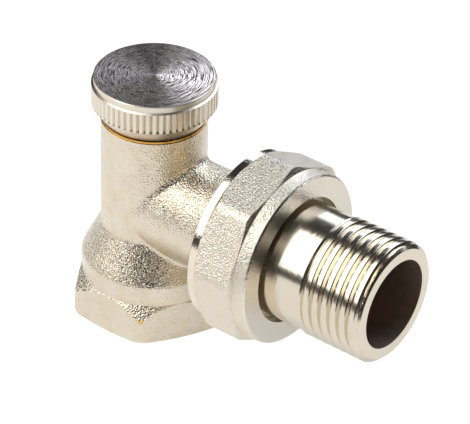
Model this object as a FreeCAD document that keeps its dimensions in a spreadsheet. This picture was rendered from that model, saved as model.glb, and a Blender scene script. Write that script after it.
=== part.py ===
"""Angle lockshield radiator valve in nickel-plated brass, as a parametric FreeCAD document.

The origin is the centre of the inlet's mouth. +Z runs up the spindle and +X out along the tailpiece.
The valve is shut, the cap is screwed down and the union is tight.
"""
import FreeCAD
import Part
import math
import os

import Sketcher

FULL_TURN = 360.0
HEXAGON_SIDE_COUNT = 6
OCTAGON_SIDE_COUNT = 8

# Driving dimensions in millimetres, degrees or counts
SIZES = {
    # Forged body, outside
    "hex_across_flats": 25.5,
    "hex_corner_trim": 1.15,
    "hex_draft_angle": 2.9,
    "foot_face_step": 0.8,
    "foot_chamfer_height": 0.5,
    "hex_corner_height": 5.0,
    "drum_foot_height": 7.05,
    "drum_step": 0.8,
    "drum_edge_radius": 2.0,
    "branch_height": 22.28,
    "shoulder_drop": 4.88,
    "shoulder_length": 6.6,
    "neck_rise": 15.34,
    "neck_diameter": 18.1,
    "branch_step": 0.4,
    "neck_blend_radius": 1.6,
    "shoulder_blend_radius": 1.2,
    "branch_end": 27.0,
    "union_thread_length": 7.0,
    "union_thread_diameter": 26.441,
    "union_thread_chamfer": 0.9,
    "flare_length": 2.8,
    # Forged body, inside
    "inlet_thread_minor_diameter": 18.631,
    "inlet_chamfer_width": 1.08,
    "inlet_chamfer_height": 0.45,
    "inlet_thread_depth": 10.5,
    "inlet_cone_depth": 1.6,
    "seat_bore_diameter": 11.0,
    "seat_drop": 7.08,
    "seat_land": 1.0,
    "seat_ridge_height": 0.8,
    "seat_ridge_slope": 0.3,
    "chamber_margin": 0.4,
    "headwork_depth": 9.4,
    "branch_bore_diameter": 12.0,
    "tail_socket_diameter": 18.0,
    "tail_socket_depth": 4.0,
    # Headwork insert
    "neck_wall": 1.5,
    "plug_clearance": 0.05,
    "plug_end_gap": 0.2,
    "plug_groove_lead": 1.6,
    "plug_groove_depth": 0.9,
    "flange_inset": 0.15,
    "flange_thickness": 0.4,
    "cap_thread_diameter": 16.0,
    "cap_thread_chamfer": 0.5,
    "gland_wall": 0.9,
    "key_slot_width": 1.6,
    "key_slot_depth": 1.0,
    # Spindle
    "spindle_lift": 3.5,
    "gland_shoulder": 0.7,
    "thread_clearance": 0.05,
    "spindle_head_clearance": 0.2,
    "spindle_chamfer": 0.5,
    "spindle_neck_cut": 0.8,
    "spindle_neck_length": 0.9,
    "socket_across_flats": 5.0,
    "socket_depth": 4.5,
    "piston_depth": 5.1,
    "piston_length": 4.0,
    "piston_clearance": 0.08,
    "piston_groove_depth": 1.0,
    "piston_rim": 0.4,
    "stem_diameter": 6.0,
    "stop_clearance": 0.1,
    # Rubber seals
    "seal_groove_width": 1.3,
    "seal_clearance": 0.02,
    # Disc that closes on the seat
    "disc_gap": 0.1,
    "disc_clearance": 0.55,
    "disc_rim": 0.3,
    "disc_rim_height": 0.9,
    "disc_seal_thickness": 1.6,
    "disc_thickness": 2.2,
    "hub_wall": 1.5,
    "hub_height": 3.4,
    "hub_floor": 0.4,
    "swivel_clearance": 0.1,
    "fit_clearance": 0.05,
    "clip_wire_diameter": 0.6,
    "clip_height": 1.4,
    "clip_clearance": 0.1,
    "clip_angle": 320.0,
    "screw_diameter": 3.0,
    "screw_length": 3.2,
    "screw_head_diameter": 5.4,
    "screw_head_height": 1.2,
    "screw_slot_width": 0.8,
    "screw_slot_depth": 0.6,
    # Protective cap
    "cap_gap": 0.1,
    "cap_foot_wall": 0.65,
    "cap_height": 7.58,
    "cap_foot_cone": 1.9,
    "cap_foot_height": 2.63,
    "cap_band_step": 0.35,
    "cap_band_height": 1.15,
    "cap_step": 0.2,
    "cap_edge_radius": 0.15,
    "cap_roof": 1.7,
    "gasket_thickness": 0.7,
    "gasket_gap": 0.1,
    "gasket_hole_diameter": 11.0,
    "knurl_count": 60,
    "knurl_width": 0.55,
    "knurl_depth": 0.4,
    # Union nut
    "nut_cover": 7.7,
    "nut_wall": 2.08,
    "nut_turn_angle": 18.0,
    "nut_corner_radius": 3.0,
    "nut_back_collar": 1.6,
    "nut_front_collar": 2.5,
    "nut_back_bevel_ratio": 1.0,
    "nut_front_bevel_ratio": 0.4,
    "nut_collar_step": 0.1,
    "nut_front_step": 0.3,
    "nut_edge_chamfer": 0.3,
    "nut_lip_thickness": 2.1,
    "nut_hole_clearance": 0.69,
    "nut_mouth_chamfer": 0.6,
    # Tailpiece
    "face_gap": 0.1,
    "collar_thickness": 1.8,
    "collar_inset": 1.32,
    "spigot_clearance": 0.06,
    "spigot_end_gap": 0.3,
    "spigot_chamfer": 0.4,
    "spigot_groove_lead": 1.2,
    "spigot_groove_depth": 1.0,
    "tail_barrel_step": 0.23,
    "tail_barrel_length": 7.3,
    "tail_thread_diameter": 20.955,
    "tail_thread_length": 11.9,
    "tail_end_chamfer": 0.8,
    "tail_bore_diameter": 15.58,
    "tail_bore_depth": 14.0,
    "tail_bore_cone": 1.0,
    "tail_key_across_flats": 12.0,
    "tail_key_relief": 0.2,
}

# Dimensions worked out from the driving ones
WORKED = {
    # Forged body
    "hex_across_corners": "=dims.hex_across_flats / cos(30 deg) - dims.hex_corner_trim",
    "hex_corner_radius": "=hex_across_corners / 2",
    "hex_clear_diameter": "=hex_across_corners / cos(45 deg)",
    "foot_face_radius": "=(dims.hex_across_flats - dims.foot_face_step) / 2",
    "drum_radius": "=(dims.hex_across_flats - dims.drum_step) / 2",
    "shoulder_height": "=dims.branch_height - dims.shoulder_drop",
    "drum_height": "=shoulder_height - dims.shoulder_length",
    "neck_radius": "=dims.neck_diameter / 2",
    "neck_height": "=dims.branch_height + dims.neck_rise",
    "branch_radius": "=(dims.neck_diameter - dims.branch_step) / 2",
    "union_thread_start": "=dims.branch_end - dims.union_thread_length",
    "flare_start": "=union_thread_start - dims.flare_length",
    "union_thread_radius": "=dims.union_thread_diameter / 2",
    "union_chamfer_radius": "=union_thread_radius - dims.union_thread_chamfer",
    "union_chamfer_start": "=dims.branch_end - dims.union_thread_chamfer",
    "inlet_radius": "=dims.inlet_thread_minor_diameter / 2",
    "inlet_mouth_radius": "=inlet_radius + dims.inlet_chamfer_width",
    "inlet_cone_top": "=dims.inlet_thread_depth + dims.inlet_cone_depth",
    "seat_height": "=dims.branch_height - dims.seat_drop",
    "seat_bore_radius": "=dims.seat_bore_diameter / 2",
    "seat_land_radius": "=seat_bore_radius + dims.seat_land",
    "seat_ridge_radius": "=seat_land_radius + dims.seat_ridge_slope",
    "chamber_floor": "=seat_height - dims.seat_ridge_height",
    "chamber_radius": "=seat_ridge_radius + dims.chamber_margin",
    "headwork_seat_height": "=neck_height - dims.headwork_depth",
    "headwork_bore_radius": "=neck_radius - dims.neck_wall",
    "branch_bore_radius": "=dims.branch_bore_diameter / 2",
    "tail_socket_radius": "=dims.tail_socket_diameter / 2",
    "tail_socket_floor": "=dims.branch_end - dims.tail_socket_depth",
    # Headwork insert
    "plug_radius": "=headwork_bore_radius - dims.plug_clearance",
    "plug_end": "=headwork_seat_height + dims.plug_end_gap",
    "plug_groove_radius": "=plug_radius - dims.plug_groove_depth",
    "plug_groove_end": "=plug_end + dims.plug_groove_lead",
    "plug_groove_top": "=plug_groove_end + dims.seal_groove_width",
    "flange_radius": "=neck_radius - dims.flange_inset",
    "flange_diameter": "=2 * flange_radius",
    "flange_top": "=neck_height + dims.flange_thickness",
    "cap_thread_radius": "=dims.cap_thread_diameter / 2",
    "cap_thread_top": "=gasket_end - dims.gasket_gap",
    "cap_chamfer_radius": "=cap_thread_radius - dims.cap_thread_chamfer",
    "cap_chamfer_height": "=cap_thread_top - dims.cap_thread_chamfer",
    "gland_radius": "=plug_groove_radius - dims.gland_wall",
    "gland_stop": "=piston_top + dims.spindle_lift + dims.stop_clearance",
    "spindle_bore_radius": "=spindle_thread_radius + dims.thread_clearance",
    # Spindle
    "spindle_thread_radius": "=gland_radius - dims.gland_shoulder",
    "spindle_top": "=gasket_end - dims.spindle_lift - dims.spindle_head_clearance",
    "spindle_tip_radius": "=spindle_thread_radius - dims.spindle_chamfer",
    "spindle_chamfer_height": "=spindle_top - dims.spindle_chamfer",
    "spindle_neck_radius": "=spindle_thread_radius - dims.spindle_neck_cut",
    "piston_top": "=neck_height - dims.piston_depth",
    "spindle_neck_top": "=piston_top + dims.spindle_neck_length",
    "piston_radius": "=gland_radius - dims.piston_clearance",
    "piston_groove_radius": "=piston_radius - dims.piston_groove_depth",
    "piston_end": "=piston_top - dims.piston_length",
    "upper_groove_top": "=piston_top - dims.piston_rim",
    "upper_groove_end": "=upper_groove_top - dims.seal_groove_width",
    "lower_groove_end": "=piston_end + dims.piston_rim",
    "lower_groove_top": "=lower_groove_end + dims.seal_groove_width",
    "stem_radius": "=dims.stem_diameter / 2",
    # Disc
    "disc_seal_end": "=seat_height + dims.disc_gap",
    "disc_face": "=disc_seal_end + dims.disc_seal_thickness",
    "disc_rim_end": "=disc_face - dims.disc_rim_height",
    "disc_top": "=disc_face + dims.disc_thickness",
    "hub_top": "=disc_top + dims.hub_height",
    "hub_bore_floor": "=disc_top + dims.hub_floor",
    "stem_end": "=hub_bore_floor + dims.swivel_clearance",
    "disc_radius": "=chamber_radius - dims.disc_clearance",
    "disc_diameter": "=2 * disc_radius",
    "disc_seal_radius": "=disc_radius - dims.disc_rim",
    "disc_recess_radius": "=disc_seal_radius + dims.fit_clearance",
    "hub_bore_radius": "=stem_radius + dims.swivel_clearance",
    "hub_radius": "=hub_bore_radius + dims.hub_wall",
    "clip_level": "=hub_bore_floor + dims.clip_height",
    "clip_wire_radius": "=dims.clip_wire_diameter / 2",
    "clip_ring_radius": "=(stem_radius + hub_bore_radius) / 2",
    "clip_groove_end": "=clip_level - clip_wire_radius - dims.clip_clearance",
    "clip_groove_top": "=clip_level + clip_wire_radius + dims.clip_clearance",
    "clip_inner_radius": "=clip_ring_radius - clip_wire_radius - dims.clip_clearance",
    "clip_outer_radius": "=clip_ring_radius + clip_wire_radius + dims.clip_clearance",
    "screw_radius": "=dims.screw_diameter / 2",
    "screw_hole_radius": "=screw_radius + dims.fit_clearance",
    "screw_head_radius": "=dims.screw_head_diameter / 2",
    "screw_head_end": "=disc_seal_end - dims.screw_head_height",
    "screw_tip": "=disc_seal_end + dims.screw_length",
    "screw_hole_top": "=screw_tip + dims.fit_clearance",
    # Cap
    "cap_end": "=flange_top + dims.cap_gap",
    "cap_top": "=cap_end + dims.cap_height",
    "cap_bore_radius": "=cap_thread_radius + dims.thread_clearance",
    "cap_foot_radius": "=cap_bore_radius + dims.cap_foot_wall",
    "cap_radius": "=cap_foot_radius + dims.cap_foot_cone",
    "cap_foot_top": "=cap_end + dims.cap_foot_height",
    "cap_band_radius": "=cap_radius - dims.cap_band_step",
    "cap_band_end": "=cap_top - dims.cap_band_height",
    "knurl_top": "=cap_band_end - dims.cap_step",
    "knurl_height": "=knurl_top - cap_foot_top",
    "knurl_root_radius": "=cap_radius - dims.knurl_depth",
    "knurl_mouth_radius": "=cap_radius + dims.knurl_depth / 4",
    "knurl_mouth_width": "=dims.knurl_width * (knurl_mouth_radius - knurl_root_radius) / dims.knurl_depth",
    "cap_ceiling": "=cap_top - dims.cap_roof",
    "gasket_end": "=cap_ceiling - dims.gasket_thickness",
    "gasket_hole_radius": "=dims.gasket_hole_diameter / 2",
    "gasket_radius": "=cap_bore_radius - dims.fit_clearance",
    # Union nut
    "nut_back": "=dims.branch_end - dims.nut_cover",
    "nut_front": "=nut_lip + dims.nut_lip_thickness",
    "nut_across_flats": "=dims.union_thread_diameter + 2 * dims.nut_wall",
    "nut_flat_radius": "=nut_across_flats / 2",
    "nut_flat_start": "=nut_back + dims.nut_back_collar",
    "nut_flat_end": "=nut_front - dims.nut_front_collar",
    "nut_clear_radius": "=nut_flat_radius / cos(45 deg)",
    "nut_bevel_rise": "=nut_clear_radius - nut_collar_radius",
    "nut_collar_radius": "=nut_flat_radius - dims.nut_collar_step",
    "nut_back_bevel_end": "=nut_flat_start + dims.nut_back_bevel_ratio * nut_bevel_rise",
    "nut_front_bevel_start": "=nut_flat_end - dims.nut_front_bevel_ratio * nut_bevel_rise",
    "nut_front_radius": "=nut_flat_radius - dims.nut_front_step",
    "nut_front_edge": "=nut_front - dims.nut_edge_chamfer",
    "nut_face_radius": "=nut_front_radius - dims.nut_edge_chamfer",
    "nut_back_edge": "=nut_back + dims.nut_edge_chamfer",
    "nut_back_radius": "=nut_collar_radius - dims.nut_edge_chamfer",
    "nut_past_front": "=nut_front + dims.nut_edge_chamfer",
    "nut_before_back": "=nut_back - dims.nut_edge_chamfer",
    "nut_length": "=nut_front - nut_back",
    "nut_thread_radius": "=union_thread_radius + dims.thread_clearance",
    "nut_mouth_radius": "=nut_thread_radius + dims.nut_mouth_chamfer",
    "nut_mouth_depth": "=nut_back + dims.nut_mouth_chamfer",
    "nut_lip": "=collar_front + dims.face_gap",
    "nut_hole_radius": "=tail_thread_radius + dims.nut_hole_clearance",
    # Tailpiece
    "collar_back": "=dims.branch_end + dims.face_gap",
    "collar_front": "=collar_back + dims.collar_thickness",
    "collar_radius": "=union_thread_radius - dims.collar_inset",
    "spigot_radius": "=tail_socket_radius - dims.spigot_clearance",
    "spigot_start": "=tail_socket_floor + dims.spigot_end_gap",
    "spigot_chamfer_end": "=spigot_start + dims.spigot_chamfer",
    "spigot_tip_radius": "=spigot_radius - dims.spigot_chamfer",
    "spigot_groove_start": "=spigot_start + dims.spigot_groove_lead",
    "spigot_groove_end": "=spigot_groove_start + dims.seal_groove_width",
    "spigot_groove_radius": "=spigot_radius - dims.spigot_groove_depth",
    "tail_thread_radius": "=dims.tail_thread_diameter / 2",
    "tail_barrel_radius": "=tail_thread_radius - dims.tail_barrel_step",
    "tail_thread_start": "=nut_front + dims.tail_barrel_length",
    "tail_thread_ramp": "=tail_thread_start + dims.tail_barrel_step",
    "tail_end": "=tail_thread_start + dims.tail_thread_length",
    "tail_chamfer_start": "=tail_end - dims.tail_end_chamfer",
    "tail_end_radius": "=tail_thread_radius - dims.tail_end_chamfer",
    "tail_bore_radius": "=dims.tail_bore_diameter / 2",
    "tail_bore_floor": "=tail_end - dims.tail_bore_depth",
    "tail_cone_floor": "=tail_bore_floor - dims.tail_bore_cone",
    "tail_neck_radius": "=dims.tail_key_across_flats / 2 - dims.tail_key_relief",
    "tail_key_depth": "=tail_bore_floor - spigot_start",
    # Rings of round section, by the groove that holds each and the bore around it
    "upper_ring_level": "=(upper_groove_top + upper_groove_end) / 2",
    "lower_ring_level": "=(lower_groove_top + lower_groove_end) / 2",
    "spindle_ring_radius": "=(gland_radius + piston_groove_radius) / 2",
    "spindle_ring_section": "=(gland_radius - piston_groove_radius) / 2 - dims.seal_clearance",
    "plug_ring_level": "=plug_groove_end + dims.seal_groove_width / 2",
    "plug_ring_radius": "=(headwork_bore_radius + plug_groove_radius) / 2",
    "plug_ring_section": "=(headwork_bore_radius - plug_groove_radius) / 2 - dims.seal_clearance",
    "tail_ring_place": "=(spigot_groove_start + spigot_groove_end) / 2",
    "tail_ring_radius": "=(tail_socket_radius + spigot_groove_radius) / 2",
    "tail_ring_section": "=(tail_socket_radius - spigot_groove_radius) / 2 - dims.seal_clearance",
}

doc = FreeCAD.newDocument("lockshield_valve")


def fill_sheet(name, cells):
    """Makes a sheet with a name in column A and the number or formula beside it."""
    sheet = doc.addObject("Spreadsheet::Sheet", name)
    for row, (alias, content) in enumerate(cells.items(), start=1):
        sheet.set(f"A{row}", alias)
        sheet.set(f"B{row}", str(content))
        sheet.setAlias(f"B{row}", alias)
    return sheet


dims = fill_sheet("dims", SIZES)
worked = fill_sheet("worked", WORKED)
doc.recompute()


def cell(alias):
    """The expression that reads a named size."""
    return f"dims.{alias}" if alias in SIZES else f"worked.{alias}"


def size(alias):
    """The number that a named size holds."""
    return float(dims.get(alias) if alias in SIZES else worked.get(alias))


def origin_part(body, role):
    """One of a body's own origin planes or axes."""
    return next(part for part in body.Origin.OriginFeatures if part.Role == role)


def new_body(label, on_branch=False):
    """An empty body at the origin, or with its origin on the branch's axis."""
    body = doc.addObject("PartDesign::Body", label)
    body.Label = label
    if on_branch:
        body.setExpression("Placement.Base.z", cell("branch_height"))
    return body


def new_sketch(body, name, role, **offsets):
    """A sketch on an origin plane, shifted along its own axes by named sizes."""
    sketch = body.newObject("Sketcher::SketchObject", name)
    sketch.AttachmentSupport = [(origin_part(body, role), "")]
    sketch.MapMode = "FlatFace"
    for direction, alias in offsets.items():
        sketch.setExpression(f"AttachmentOffset.Base.{direction}", cell(alias))
    return sketch


def hold(sketch, alias, kind, *places):
    """Adds a dimension that follows a named size."""
    index = sketch.addConstraint(Sketcher.Constraint(kind, *places, size(alias)))
    sketch.setExpression(f"Constraints[{index}]", cell(alias))


def draw_outline(sketch, corners):
    """Draws a closed outline from pairs of named sizes; None puts a corner on the axis."""
    spots = [FreeCAD.Vector(size(x) if x else 0, size(y) if y else 0, 0) for x, y in corners]
    for start, end in zip(spots, spots[1:] + spots[:1]):
        sketch.addGeometry(Part.LineSegment(start, end))
    for i, (across, along) in enumerate(corners):
        after = (i + 1) % len(corners)
        sketch.addConstraint(Sketcher.Constraint("Coincident", i, 2, after, 1))
        for alias, kind, axis in ((across, "DistanceX", -2), (along, "DistanceY", -1)):
            if alias:
                hold(sketch, alias, kind, -1, 1, i, 1)
            else:
                sketch.addConstraint(Sketcher.Constraint("PointOnObject", i, 1, axis))


def draw_polygon(sketch, sides, across_flats, turn=None):
    """Draws a regular polygon about the sketch's origin; its lowest side lies level or at a named turn."""
    tilt = math.radians(size(turn)) if turn else 0.0
    flat = size(across_flats) / 2
    corner = flat / math.cos(math.pi / sides)
    spots = []
    for i in range(sides):
        angle = tilt - math.pi / 2 + math.pi * (2 * i - 1) / sides
        spots.append(FreeCAD.Vector(corner * math.cos(angle), corner * math.sin(angle), 0))
    for start, end in zip(spots, spots[1:] + spots[:1]):
        sketch.addGeometry(Part.LineSegment(start, end))
    circle = sketch.addGeometry(Part.Circle(FreeCAD.Vector(), FreeCAD.Vector(0, 0, 1), flat), True)
    sketch.addConstraint(Sketcher.Constraint("Coincident", circle, 3, -1, 1))
    hold(sketch, across_flats, "Diameter", circle)
    for i in range(sides):
        sketch.addConstraint(Sketcher.Constraint("Coincident", i, 2, (i + 1) % sides, 1))
        sketch.addConstraint(Sketcher.Constraint("Tangent", i, circle))
    for i in range(1, sides - 1):
        sketch.addConstraint(Sketcher.Constraint("Equal", 0, i))
    level = sketch.addConstraint(Sketcher.Constraint("Angle", 0, tilt))
    if turn:
        sketch.setExpression(f"Constraints[{level}]", f"{cell(turn)} * 1 deg")


def draw_circle(sketch, diameter):
    """Draws a circle about the sketch's origin."""
    circle = sketch.addGeometry(Part.Circle(FreeCAD.Vector(), FreeCAD.Vector(0, 0, 1), size(diameter) / 2))
    sketch.addConstraint(Sketcher.Constraint("Coincident", circle, 3, -1, 1))
    hold(sketch, diameter, "Diameter", circle)


def finish_cut(body, feature, volume):
    """Recomputes a cut and makes sure that it took something away."""
    doc.recompute()
    if not body.Shape.Volume < volume:
        raise RuntimeError(f"{feature.Name} cuts nothing from {body.Label}")


def turn_solid(body, name, corners, axis="V_Axis", cut=False, **offsets):
    """Turns an outline about an axis of its sketch, to add material or to cut it."""
    sketch = new_sketch(body, f"{name}_outline", "XZ_Plane", **offsets)
    draw_outline(sketch, corners)
    volume = body.Shape.Volume if cut else 0.0
    feature = body.newObject("PartDesign::Groove" if cut else "PartDesign::Revolution", name)
    feature.Profile = sketch
    feature.ReferenceAxis = (sketch, [axis])
    feature.Angle = FULL_TURN
    doc.recompute()
    if cut:
        finish_cut(body, feature, volume)
    return feature


def pocket(body, name, sketch, depth, upwards=False):
    """Cuts a sketch to a named depth, down from its plane or upwards."""
    volume = body.Shape.Volume
    feature = body.newObject("PartDesign::Pocket", name)
    feature.Profile = sketch
    feature.setExpression("Length", cell(depth))
    feature.Reversed = upwards
    finish_cut(body, feature, volume)
    return feature


def round_edges(body, name, alias, chosen):
    """Rounds the edges that a test picks out by the named radius."""
    base = body.Tip
    names = [f"Edge{i}" for i, edge in enumerate(base.Shape.Edges, start=1) if chosen(edge)]
    feature = body.newObject("PartDesign::Fillet", name)
    feature.Base = (base, names)
    feature.setExpression("Radius", cell(alias))
    doc.recompute()
    return feature


def round_ring(label, radius, section, level=None, place=None, angle=None):
    """A ring of round section about the spindle's axis, or about the branch's axis at a place along it."""
    ring = doc.addObject("Part::Torus", label)
    ring.Label = label
    ring.setExpression("Radius1", cell(radius))
    ring.setExpression("Radius2", cell(section))
    if angle:
        ring.setExpression("Angle3", cell(angle))
    if place:
        ring.Placement.Rotation = FreeCAD.Rotation(FreeCAD.Vector(0, 0, 1), FreeCAD.Vector(1, 0, 0))
        ring.setExpression("Placement.Base.x", cell(place))
    ring.setExpression("Placement.Base.z", cell(level))
    return ring


def cross_slot(body, name, width, diameter, floor, depth, upwards=False):
    """Mills a slot straight across the end of a turned piece."""
    sketch = new_sketch(body, f"{name}_outline", "XY_Plane", z=floor)
    half_length = size(diameter) / 2
    half_width = size(width) / 2
    spots = [
        FreeCAD.Vector(-half_length, -half_width, 0),
        FreeCAD.Vector(half_length, -half_width, 0),
        FreeCAD.Vector(half_length, half_width, 0),
        FreeCAD.Vector(-half_length, half_width, 0),
    ]
    for start, end in zip(spots, spots[1:] + spots[:1]):
        sketch.addGeometry(Part.LineSegment(start, end))
    for i in range(4):
        sketch.addConstraint(Sketcher.Constraint("Coincident", i, 2, (i + 1) % 4, 1))
        sketch.addConstraint(Sketcher.Constraint("Vertical" if i % 2 else "Horizontal", i))
    sketch.addConstraint(Sketcher.Constraint("Symmetric", 0, 1, 1, 2, -1, 1))
    hold(sketch, diameter, "DistanceX", 0, 1, 0, 2)
    hold(sketch, width, "DistanceY", 1, 1, 1, 2)
    pocket(body, name, sketch, depth, upwards)


def at_drum_top(edge):
    """Tells the edge between the drum and the shoulder."""
    return all(math.isclose(vertex.Z, size("drum_height")) for vertex in edge.Vertexes)


def at_cap_top(edge):
    """Tells the outer edge of the cap's top face."""
    return all(math.isclose(vertex.Z, size("cap_top")) for vertex in edge.Vertexes)


def along_nut(edge):
    """Tells the long corners of the nut's bar."""
    ends = [vertex.X for vertex in edge.Vertexes]
    return math.isclose(max(ends) - min(ends), size("nut_length"))


def draw_notch(sketch, tip, mouth, width):
    """Draws a V with its tip on the sketch's X axis and an open mouth of a named width further out."""
    half = size(width) / 2
    spots = [
        FreeCAD.Vector(size(mouth), -half, 0),
        FreeCAD.Vector(size(mouth), half, 0),
        FreeCAD.Vector(size(tip), 0, 0),
    ]
    for start, end in zip(spots, spots[1:] + spots[:1]):
        sketch.addGeometry(Part.LineSegment(start, end))
    for i in range(3):
        sketch.addConstraint(Sketcher.Constraint("Coincident", i, 2, (i + 1) % 3, 1))
    sketch.addConstraint(Sketcher.Constraint("Symmetric", 0, 1, 0, 2, -1))
    sketch.addConstraint(Sketcher.Constraint("PointOnObject", 2, 1, -1))
    hold(sketch, mouth, "DistanceX", -1, 1, 0, 1)
    hold(sketch, tip, "DistanceX", -1, 1, 2, 1)
    hold(sketch, width, "DistanceY", 0, 1, 0, 2)


def middle_of(edge):
    """The point half-way along an edge."""
    return edge.valueAt((edge.FirstParameter + edge.LastParameter) / 2)


def at_branch_root(edge):
    """Tells the curves where the branch grows out of the neck and the shoulder."""
    middle = middle_of(edge)
    reach = math.hypot(middle.y, middle.z - size("branch_height"))
    on_branch = math.isclose(reach, size("branch_radius"), abs_tol=size("fit_clearance"))
    return on_branch and isinstance(edge.Curve, Part.BSplineCurve)


def at_neck_crotch(edge):
    """Tells the upper curves, between the branch and the neck."""
    return at_branch_root(edge) and middle_of(edge).z > size("shoulder_height")


def at_shoulder_crotch(edge):
    """Tells the lower curves, between the branch and the shoulder."""
    return at_branch_root(edge) and middle_of(edge).z < size("shoulder_height")


def make_valve_body():
    """Forged body: hexagon foot, drum, shoulder, neck and the branch that is blended into them."""
    body = new_body("valve_body")
    turn_solid(body, "upright", [
        (None, None),
        ("foot_face_radius", None),
        ("hex_corner_radius", "foot_chamfer_height"),
        ("hex_corner_radius", "hex_corner_height"),
        ("drum_radius", "drum_foot_height"),
        ("drum_radius", "drum_height"),
        ("neck_radius", "shoulder_height"),
        ("neck_radius", "neck_height"),
        (None, "neck_height"),
    ])
    round_edges(body, "drum_edge", "drum_edge_radius", at_drum_top)
    turn_solid(body, "branch", [
        (None, None),
        ("branch_end", None),
        ("branch_end", "union_chamfer_radius"),
        ("union_chamfer_start", "union_thread_radius"),
        ("union_thread_start", "union_thread_radius"),
        ("flare_start", "branch_radius"),
        (None, "branch_radius"),
    ], axis="H_Axis", y="branch_height")
    round_edges(body, "neck_blend", "neck_blend_radius", at_neck_crotch)
    round_edges(body, "shoulder_blend", "shoulder_blend_radius", at_shoulder_crotch)
    flats = new_sketch(body, "foot_flats_outline", "XY_Plane")
    draw_polygon(flats, HEXAGON_SIDE_COUNT, "hex_across_flats")
    draw_circle(flats, "hex_clear_diameter")
    foot_flats = pocket(body, "foot_flats", flats, "drum_foot_height", upwards=True)
    foot_flats.setExpression("TaperAngle", f"-{cell('hex_draft_angle')} * 1 deg")
    doc.recompute()
    turn_solid(body, "waterway", [
        (None, None),
        ("inlet_mouth_radius", None),
        ("inlet_radius", "inlet_chamfer_height"),
        ("inlet_radius", "inlet_thread_depth"),
        ("seat_bore_radius", "inlet_cone_top"),
        ("seat_bore_radius", "seat_height"),
        ("seat_land_radius", "seat_height"),
        ("seat_ridge_radius", "chamber_floor"),
        ("chamber_radius", "chamber_floor"),
        ("chamber_radius", "headwork_seat_height"),
        ("headwork_bore_radius", "headwork_seat_height"),
        ("headwork_bore_radius", "neck_height"),
        (None, "neck_height"),
    ], cut=True)
    turn_solid(body, "outlet", [
        (None, None),
        ("branch_end", None),
        ("branch_end", "tail_socket_radius"),
        ("tail_socket_floor", "tail_socket_radius"),
        ("tail_socket_floor", "branch_bore_radius"),
        (None, "branch_bore_radius"),
    ], axis="H_Axis", cut=True, y="branch_height")
    return body


def make_bonnet():
    """Headwork insert: plug, flange and cap thread, bored for the spindle."""
    body = new_body("bonnet")
    turn_solid(body, "insert", [
        ("gland_radius", "plug_end"),
        ("plug_radius", "plug_end"),
        ("plug_radius", "plug_groove_end"),
        ("plug_groove_radius", "plug_groove_end"),
        ("plug_groove_radius", "plug_groove_top"),
        ("plug_radius", "plug_groove_top"),
        ("plug_radius", "neck_height"),
        ("flange_radius", "neck_height"),
        ("flange_radius", "flange_top"),
        ("cap_thread_radius", "flange_top"),
        ("cap_thread_radius", "cap_chamfer_height"),
        ("cap_chamfer_radius", "cap_thread_top"),
        ("spindle_bore_radius", "cap_thread_top"),
        ("spindle_bore_radius", "gland_stop"),
        ("gland_radius", "gland_stop"),
    ])
    cross_slot(body, "key_slot", "key_slot_width", "flange_diameter", "cap_thread_top", "key_slot_depth")
    return body


def make_spindle():
    """Spindle: hexagon socket, thread, piston with two seal grooves and the stem that carries the disc."""
    body = new_body("spindle")
    turn_solid(body, "shaft", [
        (None, "stem_end"),
        ("stem_radius", "stem_end"),
        ("stem_radius", "clip_groove_end"),
        ("clip_inner_radius", "clip_groove_end"),
        ("clip_inner_radius", "clip_groove_top"),
        ("stem_radius", "clip_groove_top"),
        ("stem_radius", "piston_end"),
        ("piston_radius", "piston_end"),
        ("piston_radius", "lower_groove_end"),
        ("piston_groove_radius", "lower_groove_end"),
        ("piston_groove_radius", "lower_groove_top"),
        ("piston_radius", "lower_groove_top"),
        ("piston_radius", "upper_groove_end"),
        ("piston_groove_radius", "upper_groove_end"),
        ("piston_groove_radius", "upper_groove_top"),
        ("piston_radius", "upper_groove_top"),
        ("piston_radius", "piston_top"),
        ("spindle_neck_radius", "piston_top"),
        ("spindle_neck_radius", "spindle_neck_top"),
        ("spindle_thread_radius", "spindle_neck_top"),
        ("spindle_thread_radius", "spindle_chamfer_height"),
        ("spindle_tip_radius", "spindle_top"),
        (None, "spindle_top"),
    ])
    socket = new_sketch(body, "socket_outline", "XY_Plane", z="spindle_top")
    draw_polygon(socket, HEXAGON_SIDE_COUNT, "socket_across_flats")
    pocket(body, "socket", socket, "socket_depth")
    return body


def make_disc_holder():
    """Disc holder: rim round the rubber washer, hub round the spindle's end and a hole for the screw."""
    body = new_body("disc_holder")
    turn_solid(body, "holder", [
        (None, "screw_hole_top"),
        ("screw_hole_radius", "screw_hole_top"),
        ("screw_hole_radius", "disc_face"),
        ("disc_recess_radius", "disc_face"),
        ("disc_recess_radius", "disc_rim_end"),
        ("disc_radius", "disc_rim_end"),
        ("disc_radius", "disc_top"),
        ("hub_radius", "disc_top"),
        ("hub_radius", "hub_top"),
        ("hub_bore_radius", "hub_top"),
        ("hub_bore_radius", "clip_groove_top"),
        ("clip_outer_radius", "clip_groove_top"),
        ("clip_outer_radius", "clip_groove_end"),
        ("hub_bore_radius", "clip_groove_end"),
        ("hub_bore_radius", "hub_bore_floor"),
        (None, "hub_bore_floor"),
    ])
    return body


def make_disc_seal():
    """Rubber washer that closes on the seat."""
    body = new_body("disc_seal")
    turn_solid(body, "washer", [
        ("screw_hole_radius", "disc_seal_end"),
        ("disc_seal_radius", "disc_seal_end"),
        ("disc_seal_radius", "disc_face"),
        ("screw_hole_radius", "disc_face"),
    ])
    return body


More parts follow.
